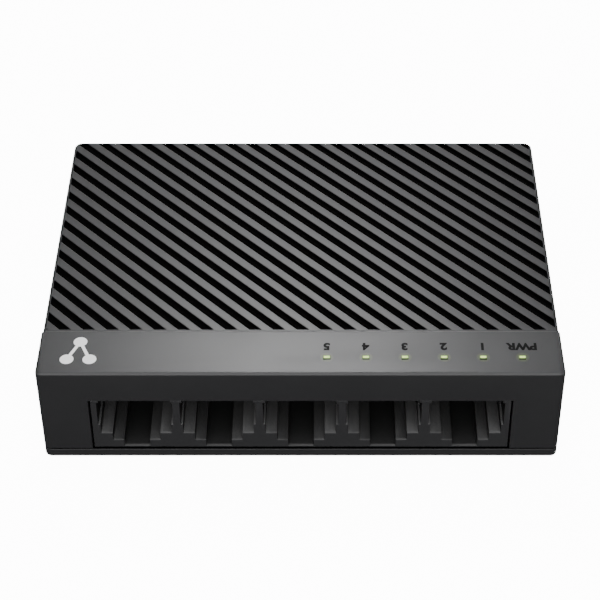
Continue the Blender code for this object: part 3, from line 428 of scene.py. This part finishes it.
def make_contacts(number, x):
    """Eight gold wires of a socket. Each starts over the pivot, folds round it in a half circle,
    slopes down to the back and turns up at its tip."""
    pivot_y, pivot_z = SPRING_PIVOT
    fold = [[0, pivot_y - WIRE_TURN * math.sin(a), pivot_z + WIRE_TURN * math.cos(a)]
            for a in np.linspace(0, math.pi - WIRE_SLOPE, 9)]
    start = [[0, pivot_y + WIRE_TAIL, pivot_z + WIRE_TURN]]
    leave = np.array(fold[-1])
    down = np.array([0, math.cos(WIRE_SLOPE), -math.sin(WIRE_SLOPE)])
    run = [leave + down * s for s in np.linspace(0, WIRE_RUN, 8)[1:]]
    up = np.array([0, math.sin(WIRE_SLOPE), math.cos(WIRE_SLOPE)])
    tip = [run[-1] + down * TIP_TURN * math.sin(a) + up * TIP_TURN * (1 - math.cos(a))
           for a in np.linspace(0, 1.1, 6)[1:]]
    path = np.array(start + fold + [p.tolist() for p in run + tip])
    wires = [rings_mesh("wire", tube_rings(path + [x + (i - 3.5) * WIRE_PITCH, 0, 0], WIRE_RADIUS))
             for i in range(8)]
    node = f"port_{number}_springs"
    return add_piece(f"port_{number}_contacts", merged(f"port_{number}_contacts", wires), node, node)


def make_foot(node):
    """A rubber foot: a pad with a rounded rim and a shallow dish in its underside."""
    low, high = span(node)
    radius = (high[0] - low[0]) / 2
    tall = high[2] - low[2]
    rim = arc(radius - FOOT_RIM, FOOT_RIM, FOOT_RIM, -90, 0, 7).tolist()
    dish = [(0, FOOT_DISH), (0.55 * radius, FOOT_DISH), (0.70 * radius, 0.35 * FOOT_DISH), (0.74 * radius, 0)]
    profile = dish + rim + [(radius, tall - FOOT_DISH), (radius - FOOT_DISH, tall), (0, tall)]
    mesh = turned_mesh(f"{node}_pad", profile, (*middle(node)[:2], low[2]), sides=64)
    return add_piece(f"{node}_pad", mesh, "case", node)


def make_screw(node, head_up):
    """A pan-headed screw with a threaded shank and a cross in its head. The head's face bulges as a
    shallow arc, and the shank's radius goes up and down with the height, as a thread does."""
    low, high = span(node)
    head = (high[0] - low[0]) / 2
    tall = high[2] - low[2]
    shank = SCREW_SHANK
    dome = [(head * math.sin(a) / math.sin(DOME_ANGLE),
             SCREW_DOME * (1 - math.cos(a)) / (1 - math.cos(DOME_ANGLE)))
            for a in np.linspace(0, DOME_ANGLE, 8)]
    side = [(head, SCREW_HEAD - 0.1 * MM), (head - 0.1 * MM, SCREW_HEAD)]
    height = np.arange(SCREW_HEAD + 0.3 * MM, tall - 0.4 * MM, THREAD_PITCH / 2)
    thread = [(shank - THREAD_DEPTH * (i % 2), h) for i, h in enumerate(height)]
    neck = [(shank - THREAD_DEPTH, SCREW_HEAD)]
    profile = dome + side + neck + thread + [(0.35 * shank, tall), (0, tall)]
    flip = -1 if head_up else 1
    base = high[2] if head_up else low[2]
    x, y, _ = middle(node)
    mesh = turned_mesh(f"{node}_turned", [(r, flip * h) for r, h in profile], (x, y, base), sides=40)
    screw = add_piece(f"{node}_turned", mesh, "case", node)
    long, slim = head * 0.62, head * 0.16
    z0, z1 = sorted((base - flip * MM, base + flip * SCREW_HEAD * 0.6))
    tools = [box_cutter("cross", (x - a, y - b, z0), (x + a, y + b, z1))
             for a, b in ((long, slim), (slim, long))]
    return carve(screw, tools)


def make_letters(text, x, y, height, name, material):
    """Lettering that reads from behind the switch, as flat ink on the strip."""
    curve = bpy.data.curves.new(name, "FONT")
    curve.body = text
    curve.align_x = "CENTER"
    curve.align_y = "CENTER"
    curve.size = height / 0.70
    curve.extrude = INK_THICKNESS / 2
    curve.offset = LETTER_BOLD
    curve.space_character = 1.03
    holder = bpy.data.objects.new(name, curve)
    bpy.context.scene.collection.objects.link(holder)
    graph = bpy.context.evaluated_depsgraph_get()
    mesh = bpy.data.meshes.new_from_object(holder.evaluated_get(graph))
    bpy.data.objects.remove(holder, do_unlink=True)
    co = np.empty(len(mesh.vertices) * 3)
    mesh.vertices.foreach_get("co", co)
    co = co.reshape(-1, 3) * [-1, -1, 1]
    centre = (co.min(0) + co.max(0)) / 2
    co += np.array([x, y, TOP + INK_THICKNESS / 2]) - centre * [1, 1, 0]
    mesh.vertices.foreach_set("co", co.ravel())
    mesh.materials.append(material)
    return add_piece(name, mesh, "case")


def disc_rings(cx, cy, radius, sides=40):
    """The lower and upper rim of a thin round disc of ink."""
    a = np.linspace(0, 2 * math.pi, sides, endpoint=False)
    ring = np.stack([cx + radius * np.cos(a), cy + radius * np.sin(a)], -1)
    return [at_height(ring, TOP + 0.002 * MM), at_height(ring, TOP + INK_THICKNESS)]


def make_glyph(material):
    """A plain sign for a network: one dot above two, with a bar from the upper dot to each lower one."""
    cx, cy = GLYPH_CENTRE
    dots = {"upper": (cx, cy + GLYPH_RISE), "left": (cx - GLYPH_FALL, cy - GLYPH_FALL),
            "right": (cx + GLYPH_FALL, cy - GLYPH_FALL)}
    for name, (x, y) in dots.items():
        piece = add_piece(f"glyph_dot_{name}", rings_mesh("dot", disc_rings(x, y, GLYPH_DOT)), "case")
        piece.data.materials.append(material)
    for name in ("left", "right"):
        a, b = np.array(dots["upper"]), np.array(dots[name])
        run = (b - a) / np.linalg.norm(b - a)
        side = np.array([-run[1], run[0]]) * GLYPH_BAR_HALF
        a, b = a + run * GLYPH_BAR_START, b - run * GLYPH_BAR_START
        ring = np.array([a - side, b - side, b + side, a + side])
        levels = [at_height(ring, TOP + 0.001 * MM), at_height(ring, TOP + 0.9 * INK_THICKNESS)]
        piece = add_piece(f"glyph_bar_{name}", rings_mesh("bar", levels), "case")
        piece.data.materials.append(material)


# ---------------------------------------------------------------- materials
class Wire:
    """A socket whose sums are written as expressions; each adds a Math node."""

    def __init__(self, tree, socket):
        self.tree = tree
        self.socket = socket

    def math(self, operation, *values):
        node = self.tree.nodes.new("ShaderNodeMath")
        node.operation = operation
        for slot, value in zip(node.inputs, values):
            plug(self.tree, slot, value)
        return Wire(self.tree, node.outputs[0])

    def __add__(self, other):
        return self.math("ADD", self, other)

    def __sub__(self, other):
        return self.math("SUBTRACT", self, other)

    def __mul__(self, other):
        return self.math("MULTIPLY", self, other)

    def __rsub__(self, other):
        return self.math("SUBTRACT", other, self)

    def __gt__(self, other):
        return self.math("GREATER_THAN", self, other)

    def __abs__(self):
        return self.math("ABSOLUTE", self)

    def at_least(self, other):
        """The larger of this value and another."""
        return self.math("MAXIMUM", self, other)

    __radd__ = __add__
    __rmul__ = __mul__


def plug(tree, slot, value):
    """Links a wire to a socket, or sets the socket to a plain value."""
    if isinstance(value, Wire):
        tree.links.new(value.socket, slot)
    elif isinstance(value, tuple) and len(value) == 3 and slot.type == "RGBA":
        slot.default_value = (*value, 1.0)
    else:
        slot.default_value = value


class Finish:
    """One material: its shader's own values are set once, and wires feed what varies."""

    def __init__(self, name, **constants):
        self.material = bpy.data.materials.new(name)
        self.material.use_nodes = True
        self.tree = self.material.node_tree
        self.shader = self.tree.nodes["Principled BSDF"]
        for key, value in constants.items():
            plug(self.tree, self.shader.inputs[key.replace("_", " ")], value)
        self.place = self.node("ShaderNodeTexCoord", output="Object")

    def node(self, kind, settings=None, output=0, **sockets):
        """Any node: its settings first, then the values or links of its sockets."""
        node = self.tree.nodes.new(kind)
        for key, value in (settings or {}).items():
            setattr(node, key, value)
        for key, value in sockets.items():
            plug(self.tree, node.inputs[int(key[1:]) if key[0] == "i" and key[1:].isdigit()
                                        else key.replace("_", " ")], value)
        return Wire(self.tree, node.outputs[output])

    def noise(self, size, detail=2.0, roughness=0.5, stretch=(1.0, 1.0, 1.0)):
        """Noise from 0 to 1 with features of about a size in metres."""
        place = self.node("ShaderNodeMapping", Vector=self.place, Scale=tuple(s / size for s in stretch))
        return self.node("ShaderNodeTexNoise", {}, "Fac", Vector=place, Scale=1.0, Detail=detail,
                         Roughness=roughness)

    def xyz(self):
        node = self.tree.nodes.new("ShaderNodeSeparateXYZ")
        self.tree.links.new(self.place.socket, node.inputs[0])
        return [Wire(self.tree, out) for out in node.outputs]

    def mix(self, factor, first, second):
        """A colour between two others."""
        return self.node("ShaderNodeMix", {"data_type": "RGBA"}, 2, i0=factor, i6=first, i7=second)

    def band(self, wire, low, high):
        """0 below one value, 1 above another, and smooth between."""
        return self.node("ShaderNodeMapRange", {"interpolation_type": "SMOOTHSTEP"}, 0, Value=wire,
                         From_Min=low, From_Max=high)

    def feed(self, **wires):
        for key, wire in wires.items():
            plug(self.tree, self.shader.inputs[key.replace("_", " ")], wire)

    def bump(self, height, depth, strength=1.0):
        normal = self.node("ShaderNodeBump", {}, 0, Height=height, Distance=depth, Strength=strength)
        self.feed(Normal=normal)


def moulded(name, color, roughness, grain, depth, specular=0.5):
    """Moulded plastic: a fine spark-eroded grain, with a faint drift of colour and gloss."""
    finish = Finish(name, Specular_IOR_Level=specular)
    fine = finish.noise(grain, 3.0, 0.6)
    broad = finish.noise(9 * MM, 2.0)
    darker = tuple(c * 0.85 for c in color)
    lighter = tuple(c * 1.15 for c in color)
    finish.feed(Base_Color=finish.mix(broad * 0.6 + fine * 0.4, darker, lighter),
                Roughness=roughness - 0.05 + fine * 0.06 + broad * 0.04)
    finish.bump(fine, depth)
    return finish


def metal(name, color, roughness, stretch):
    """Plated or drawn metal with a fine directional streak."""
    finish = Finish(name, Metallic=1.0)
    streak = finish.noise(0.5 * MM, 3.0, 0.6, stretch)
    broad = finish.noise(3 * MM, 2.0)
    finish.feed(Base_Color=finish.mix(broad, tuple(c * 0.88 for c in color), color),
                Roughness=roughness - 0.08 + streak * 0.16)
    finish.bump(streak, 0.004 * MM)
    return finish


def case_plastic():
    """The cover's plastic, with a faint painted glow on it round each lit lens, standing in for the lamps' light.
    """
    finish = moulded("case_black", (0.020, 0.020, 0.021), 0.36, CASE_GRAIN, CASE_GRAIN_DEPTH, CASE_SPECULAR)
    x, y, z = finish.xyz()
    from_line = y - (FRONT + STRIP_DEPTH)
    line = finish.band(from_line * from_line, (0.10 * MM) ** 2, (0.02 * MM) ** 2)
    finish.bump(finish.noise(CASE_GRAIN, 3.0, 0.6) - line * 12, CASE_GRAIN_DEPTH)
    # Painted light: an emitted halo on the case's top round each lens.
    from_lens = y - LENS_Y
    from_lens = from_lens * from_lens
    near = [finish.band((x - lamp_x) * (x - lamp_x) + from_lens, HALO ** 2, HALO_CORE ** 2)
            for lamp_x in LAMP_XS]
    glow = sum(near[1:], near[0]) * (z > TOP - 0.1 * MM)
    finish.feed(Emission_Color=finish.mix(glow, (0.0, 0.0, 0.0), (0.34, 0.52, 0.06)))
    finish.shader.inputs["Emission Strength"].default_value = 0.10
    return finish.material


def jack_plastic_painted_light_shade():
    """The jack block's plastic, with painted light and shade set by height: the lower a floor, the darker, apart
    from the latch notches' front lips, which get a painted highlight; upward faces are painted lighter than
    upright ones, and the faces that look sideways are painted darker than those to the front."""
    finish = Finish("jack_black", Specular_IOR_Level=0.25)
    fine = finish.noise(0.35 * MM, 3.0, 0.6)
    streaks = finish.noise(0.6 * MM, 3.0, 0.6, (1.0, 0.08, 1.0))
    x, y, z = finish.xyz()
    facing = finish.node("ShaderNodeNewGeometry", output="Normal")
    up = finish.band(finish.node("ShaderNodeSeparateXYZ", output="Z", i0=facing), 0.5, 0.9)
    sideways = finish.node("ShaderNodeSeparateXYZ", output="X", i0=facing)
    sideways_painted_shade = finish.band(sideways * sideways, 0.3, 0.8)
    # Painted shade and light by height: darker down in the latch notches, lighter on the socket floors, lighter
    # still on the ledges.
    depth = finish.band(z, NOTCH_PAINTED_SHADE, PORT_PAINTED_LIGHT) * 0.37 + 0.04
    depth = depth + finish.band(z, LEDGE_PAINTED_LIGHT - 0.5 * MM, LEDGE_PAINTED_LIGHT) * 0.45
    # Painted highlight along the front lips of the notch floors.
    lip_painted_highlight = finish.band(y, LIP_BACK + 0.1 * MM, LIP_BACK - 0.1 * MM)
    painted_lightness = depth.at_least(lip_painted_highlight * 0.20) * (0.8 + streaks * 0.4)
    # Upward faces get painted light; upright faces keep the plastic's own tone, with painted shade on those that
    # look sideways.
    floor_painted_light_shade = finish.mix(painted_lightness, (0.003, 0.003, 0.003), (0.085, 0.085, 0.086))
    upright_tone_painted_shade = finish.mix(sideways_painted_shade, (0.021, 0.021, 0.022), (0.004, 0.004, 0.004))
    finish.feed(Base_Color=finish.mix(up, upright_tone_painted_shade, floor_painted_light_shade),
                Roughness=0.42 + fine * 0.08 + streaks * 0.06)
    finish.bump(fine, 0.004 * MM)
    return finish.material


def groove_black():
    """Painted shade: the near-black bottom of the grooves and of the seam, standing in for the shade down in them.
    """
    finish = Finish("groove_black", Base_Color=(0.0006, 0.0006, 0.0006), Specular_IOR_Level=0.02)
    fine = finish.noise(0.4 * MM, 2.0)
    finish.feed(Roughness=0.5 + fine * 0.15)
    return finish.material


def lens_glow():
    """Clear guide that shines at its tips and fades to clear plastic below."""
    finish = Finish("guide_clear", Roughness=0.35, Specular_IOR_Level=0.12)
    x, y, z = finish.xyz()
    lit_y = LENS_Y - LENS_HALF[1]
    tip = finish.band(z, TOP - 0.9 * MM, TOP - 0.3 * MM)
    # Painted shade: the front edge of each tip is left dark and unlit, a shade line along the lens's front beside
    # the real pit cut in front of it.
    tip = tip * finish.band(y, lit_y + 0.12 * MM, lit_y + 0.28 * MM)
    fine = finish.noise(0.3 * MM)
    core = finish.band(y, LENS_Y + 0.34 * MM, LENS_Y + 0.10 * MM)
    here = [finish.band((x - lamp_x) * (x - lamp_x), LENS_DIM ** 2, LENS_BRIGHT ** 2) for lamp_x in LAMP_XS]
    middles = sum(here[1:], here[0])
    core = core * middles
    tip = tip * (0.15 + 0.85 * middles)
    lit = finish.mix(core, (0.26, 0.60, 0.04), (0.64, 0.95, 0.18))
    finish.feed(Base_Color=finish.mix(tip, (0.015, 0.035, 0.006), (0.42, 0.50, 0.20)),
                Emission_Color=finish.mix(tip * (0.8 + 0.2 * fine), (0.0, 0.0, 0.0), lit))
    finish.shader.inputs["Emission Strength"].default_value = 1.05
    return finish.material


def board_green():
    """Solder mask over faint copper runs."""
    finish = Finish("board_green", Specular_IOR_Level=0.5)
    runs = finish.node("ShaderNodeTexWave", {"bands_direction": "DIAGONAL"}, "Fac", Vector=finish.place,
                       Scale=180.0, Distortion=6.0, Detail=1.0, Detail_Scale=40.0)
    broad = finish.noise(4 * MM)
    copper = finish.band(runs, 0.55, 0.65)
    finish.feed(Base_Color=finish.mix(copper, (0.006, 0.085, 0.030), (0.012, 0.16, 0.05)),
                Roughness=0.28 + broad * 0.15)
    finish.bump(runs, 0.02 * MM)
    return finish.material


def speckled(name, dark, light, roughness, size, depth=0.01 * MM):
    """A cast, moulded or printed surface mottled between two tones."""
    finish = Finish(name)
    grains = finish.noise(size, 4.0, 0.7)
    finish.feed(Base_Color=finish.mix(grains, dark, light), Roughness=roughness - 0.1 + grains * 0.2)
    finish.bump(grains, depth)
    return finish.material


def glowing(name, color, strength):
    """A lit lamp."""
    finish = Finish(name, Roughness=0.3)
    fine = finish.noise(0.2 * MM)
    finish.feed(Base_Color=finish.mix(fine, color, tuple(min(1.0, c * 1.2) for c in color)),
                Emission_Color=finish.mix(fine, tuple(c * 0.8 for c in color), color))
    finish.shader.inputs["Emission Strength"].default_value = strength
    return finish.material


def printed(name, color, specular):
    """Screen-printed ink with a slightly uneven film."""
    finish = Finish(name, Specular_IOR_Level=specular)
    fine = finish.noise(0.15 * MM, 3.0)
    finish.feed(Base_Color=finish.mix(fine, tuple(c * 0.9 for c in color), color),
                Roughness=0.45 + fine * 0.15)
    return finish.material


CASE = case_plastic()
PAINTED_SHADE = groove_black()
MATERIALS = {
    "case_black": CASE,
    "tray_black": moulded("tray_black", (0.016, 0.016, 0.017), 0.50, 0.30 * MM, 0.008 * MM,
                          CASE_SPECULAR).material,
    "jack_black": jack_plastic_painted_light_shade(),
    "board_green": board_green(),
    "gold_plate": metal("gold_plate", (0.83, 0.60, 0.22), 0.24, (1.0, 0.2, 1.0)).material,
    "tin_plate": metal("tin_plate", (0.68, 0.68, 0.70), 0.32, (0.3, 1.0, 1.0)).material,
    "aluminium_can": metal("aluminium_can", (0.74, 0.75, 0.76), 0.30, (1.0, 1.0, 0.2)).material,
    "zinc_steel": metal("zinc_steel", (0.58, 0.59, 0.61), 0.34, (1.0, 1.0, 0.3)).material,
    "chip_black": speckled("chip_black", (0.012, 0.012, 0.013), (0.030, 0.030, 0.031), 0.5, 0.25 * MM),
    "ferrite": speckled("ferrite", (0.035, 0.035, 0.038), (0.085, 0.085, 0.09), 0.6, 0.3 * MM),
    "lamp_white": glowing("lamp_white", (0.75, 0.95, 0.35), 1.2),
    "guide_clear": lens_glow(),
    "foot_rubber": speckled("foot_rubber", (0.014, 0.014, 0.014), (0.030, 0.030, 0.030), 0.85, 0.4 * MM,
                            0.02 * MM),
    "label_silver": speckled("label_silver", (0.48, 0.48, 0.47), (0.60, 0.60, 0.59), 0.45, 0.6 * MM),
}
INK_BLACK = printed("ink_black", (0.003, 0.003, 0.003), 0.05)
INK_WHITE = printed("ink_white", (0.82, 0.82, 0.82), 0.3)


# ---------------------------------------------------------------- the pieces
def paint(piece, *materials):
    """Gives an object these materials and no others."""
    piece.data.materials.clear()
    for material in materials:
        piece.data.materials.append(material)


cover = make_cover()
paint(cover, CASE)

ribs = make_ribs()
paint(ribs, CASE, PAINTED_SHADE)
# The grooves' sides and floors get the painted shade.
for face in ribs.data.polygons:
    deep = min(ribs.data.vertices[i].co.z for i in face.vertices)
    face.material_index = int(deep < TOP - RIB_EDGE - 0.02 * MM)

NODE_SLOT = {row["node"]: row["material_slot"] for row in frame["record"]["subparts"]}
for node, width, clamp in (("jack_block", 0.07 * MM, True), ("base_tray", 0.10 * MM, False),
                           ("power_jack", 0.08 * MM, False)):
    piece = softened(node, width, clamp)
    slot_name = NODE_SLOT[node]
    paint(piece, MATERIALS[slot_name], PAINTED_SHADE)
    # Upward faces at the tray rim's height, down in the seam between cover and tray, get the painted shade.
    for face in piece.data.polygons:
        face.material_index = int(face.normal.z > 0.9 and abs(face.center.z - TRAY_RIM) < 0.05 * MM)

for number in range(1, 6):
    x = middle(f"port_{number}_springs")[0]
    contacts = make_contacts(number, x)
    paint(contacts, MATERIALS["gold_plate"])
for place in ("front_left", "front_right", "back_left", "back_right"):
    pad = make_foot(f"foot_{place}")
    paint(pad, MATERIALS["foot_rubber"])
for kind, head_up in (("case", False), ("board", True)):
    for side in ("left", "right"):
        screw = make_screw(f"{kind}_screw_{side}", head_up)
        paint(screw, MATERIALS["zinc_steel"])

for name, slot_name in NODE_SLOT.items():
    paint(frame["nodes"][name], MATERIALS[slot_name])

for name, x in zip(LAMPS, LAMP_XS):
    text = "PWR" if name == "lamp_power" else name[-1]
    make_letters(text, x, LABEL_Y, LABEL_HEIGHT, f"print_{name}", INK_BLACK)
make_glyph(INK_WHITE)


# ---------------------------------------------------------------- floor, light, camera
def make_floor():
    """A wide pale floor, lit from within so that it stays clean, with a narrow shade under the switch:
    the glow falls off with the distance inside the case's outline, softly at its edge."""
    mesh = bpy.data.meshes.new("floor")
    corners = [(FLOOR_REACH * x, FLOOR_REACH * y, 0) for x, y in ((-1, -1), (1, -1), (1, 1), (-1, 1))]
    mesh.from_pydata(corners, [], [(0, 1, 2, 3)])
    floor = bpy.data.objects.new("floor", mesh)
    bpy.context.scene.collection.objects.link(floor)
    pale = Finish("floor_pale", Roughness=0.9, Specular_IOR_Level=0.1)
    x, y, z = pale.xyz()
    outside = (abs(x) - HALF_WIDTH).at_least(abs(y) - BACK)
    glow = pale.band(outside, SHADE_EDGE[0], SHADE_EDGE[1])
    pale.feed(Base_Color=pale.mix(glow, (0.03, 0.03, 0.03), (0.9, 0.9, 0.9)),
              Emission_Color=pale.mix(glow, (0.0, 0.0, 0.0), (1.0, 1.0, 1.0)))
    pale.shader.inputs["Emission Strength"].default_value = FLOOR_GLOW
    mesh.materials.append(pale.material)
    floor.visible_glossy = False
    floor.visible_diffuse = False


def make_backdrop():
    """A drum and lid of plain white far round the floor, so that a low view has no dark horizon. It is
    there for the eye only, and gives and takes no light."""
    profile = [(BACKDROP_RADIUS, -MM), (BACKDROP_RADIUS, BACKDROP_HEIGHT), (MM, BACKDROP_HEIGHT)]
    mesh = turned_mesh("backdrop", profile, (0.0, 0.0, 0.0))
    backdrop = bpy.data.objects.new("backdrop", mesh)
    bpy.context.scene.collection.objects.link(backdrop)
    pale = Finish("backdrop_pale", Roughness=0.9, Base_Color=(0.9, 0.9, 0.9), Specular_IOR_Level=0.1)
    broad = pale.noise(1.0)
    pale.feed(Emission_Color=pale.mix(broad, (0.97, 0.97, 0.97), (1.0, 1.0, 1.0)))
    pale.shader.inputs["Emission Strength"].default_value = FLOOR_GLOW
    mesh.materials.append(pale.material)
    for ray in ("diffuse", "glossy", "shadow", "transmission"):
        setattr(backdrop, f"visible_{ray}", False)


def make_world(below, above):
    """Even studio light: dim under the horizon, and brighter overhead."""
    world = bpy.data.worlds.new("studio")
    world.use_nodes = True
    tree = world.node_tree
    background = tree.nodes["Background"]
    place = tree.nodes.new("ShaderNodeTexCoord")
    height = tree.nodes.new("ShaderNodeSeparateXYZ")
    tree.links.new(place.outputs["Generated"], height.inputs[0])
    blend = tree.nodes.new("ShaderNodeMapRange")
    blend.interpolation_type = "SMOOTHSTEP"
    plug(tree, blend.inputs["From Min"], -0.25)
    plug(tree, blend.inputs["From Max"], 0.55)
    plug(tree, blend.inputs["To Min"], below)
    plug(tree, blend.inputs["To Max"], above)
    tree.links.new(height.outputs["Z"], blend.inputs["Value"])
    tree.links.new(blend.outputs["Result"], background.inputs["Strength"])
    bpy.context.scene.world = world


def area_light(name, place, target, size, power):
    """A soft rectangular light that faces its target."""
    lamp = bpy.data.lights.new(name, "AREA")
    lamp.shape = "RECTANGLE"
    lamp.size, lamp.size_y = size
    lamp.energy = power
    holder = bpy.data.objects.new(name, lamp)
    bpy.context.scene.collection.objects.link(holder)
    holder.location = place
    holder.rotation_euler = (Vector(target) - Vector(place)).to_track_quat("-Z", "Y").to_euler()
    holder.visible_camera = False


make_floor()
make_backdrop()
make_world(0.20, 0.80)
FRONT_EDGE = (0.0, FRONT, TOP)
area_light("back_soft", (-0.006, FRONT + 0.25, TOP + 0.27), FRONT_EDGE, (0.075, 0.075), 0.64)
area_light("overhead", (0.0, 0.05, 0.90), (0.0, 0.0, 0.0), (0.80, 0.80), 4.0)
area_light("front_soft", (-0.02, FRONT - 0.42, 0.52), FRONT_EDGE, (0.90, 0.70), 6.6)
for name, x, y, power in (("front", 0.0, -1.0, 2.4), ("rear", 0.0, 1.0, 0.9), ("left", -1.0, 0.0, 1.5),
                          ("right", 1.0, 0.0, 1.5)):
    area_light(f"{name}_low", (0.6 * x, 0.6 * y, 0.16), (0.0, 0.0, 0.01), (0.8, 0.15), power)

VIEW_SIDE = 600
VIEW_SHIFT = -20.2
FOCAL = 1819.57
SENSOR = 36.0
LOOKS_DOWN = 40.806
camera = bpy.data.cameras.new("camera")
camera.sensor_width = SENSOR
camera.lens = FOCAL / VIEW_SIDE * SENSOR
camera.shift_x = VIEW_SHIFT / VIEW_SIDE
camera_object = bpy.data.objects.new("camera", camera)
bpy.context.scene.collection.objects.link(camera_object)
camera_object.location = (3.286 * MM, FRONT - 219.0 * MM, TOP + 205.2 * MM)
camera_object.rotation_euler = (math.radians(90 - LOOKS_DOWN), 0.0, 0.0)
bpy.context.scene.camera = camera_object
